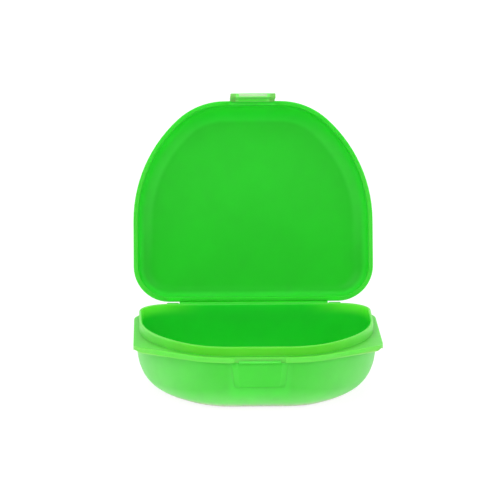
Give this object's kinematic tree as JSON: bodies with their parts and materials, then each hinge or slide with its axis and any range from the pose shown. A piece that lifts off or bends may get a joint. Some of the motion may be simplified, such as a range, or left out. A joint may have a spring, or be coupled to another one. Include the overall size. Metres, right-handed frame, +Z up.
{
  "type": "orthodontic retainer case",
  "caption": "D-shaped hard plastic retainer case: a bowl-like base with an eared flange and raised collar, a shallow lid on a pinned rear hinge, and a snap latch tab.",
  "frame": {"origin": "middle of the base's flat resting face, halfway between the straight front and the straight rear edge", "axes": "+Z up, +Y from the latch to the hinge, +X to the right seen from the latch"},
  "size_m": [0.0808, 0.0948, 0.0905],
  "materials": {
    "base_plastic": "smooth moulded polypropylene, bright green, slightly see-through",
    "lid_plastic": "smooth moulded polypropylene, bright green, slightly see-through",
    "latch_plastic": "smooth moulded polypropylene, bright green, slightly see-through",
    "pin_plastic": "plain moulded rod in the same green"
  },
  "bodies": {
    "base": {"base_tray": "base_plastic", "base_knuckles": "base_plastic", "latch_keeper": "base_plastic", "hinge_pin": "pin_plastic"},
    "lid": {"lid_shell": "lid_plastic", "lid_knuckle": "lid_plastic", "latch_root": "lid_plastic"},
    "latch": {"latch_tab": "latch_plastic"}
  },
  "joints": [
    {"name": "lid_hinge", "type": "hinge", "parent": "base", "child": "lid", "pos_m": [0, 0.0361, 0.019], "axis": [1, 0, 0], "range_deg": [0, 105]},
    {"name": "latch_flex", "type": "hinge", "parent": "lid", "child": "latch", "pos_m": [0, 0.05665, 0.08602], "axis": [-1, 0, 0], "range_deg": [0, 20], "stiffness_Nm_per_rad": 0.03}
  ]
}
